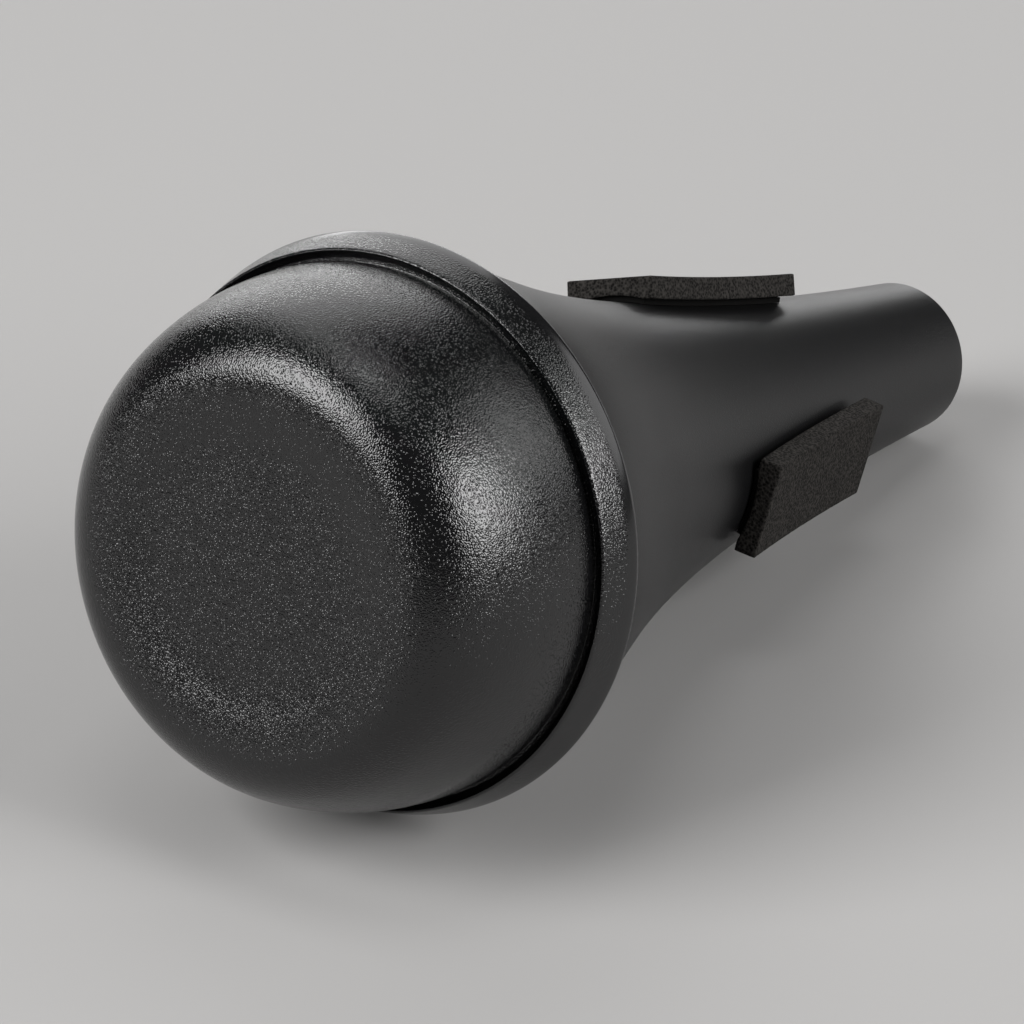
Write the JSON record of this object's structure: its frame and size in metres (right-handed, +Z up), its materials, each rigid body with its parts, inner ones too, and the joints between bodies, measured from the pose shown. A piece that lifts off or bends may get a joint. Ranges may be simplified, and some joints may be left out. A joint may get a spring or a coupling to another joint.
{
  "type": "straight mute",
  "caption": "Straight mute for a small brass instrument: moulded end cap with a dished bowl and raised rim, flared hollow cone with an open tail, and foam pads along its sides.",
  "frame": {"origin": "centre of the footprint, on the surface that the mute lies on with its rim and its tail", "axes": "+X from the dished end towards the open tail, +Z up, +Y completes a right-handed frame. The mute's own axis lies in the XZ plane and sinks 11.27 degrees towards the tail."},
  "size_m": [0.1764, 0.0798, 0.0784],
  "materials": {
    "cap_plastic": "satin black with a fine moulded wrinkle grain",
    "cone_plastic": "matte black with a very fine grain",
    "foam": "dark grey foam sheet with fine open cells",
    "adhesive": "thin dark double-sided adhesive film, almost hidden under the foam"
  },
  "bodies": {
    "root": {"end_cap": "cap_plastic", "cone_shell": "cone_plastic", "foam_pad_1": "foam", "foam_pad_2": "foam", "foam_pad_3": "foam", "pad_adhesive_1": "adhesive", "pad_adhesive_2": "adhesive", "pad_adhesive_3": "adhesive"}
  },
  "joints": []
}
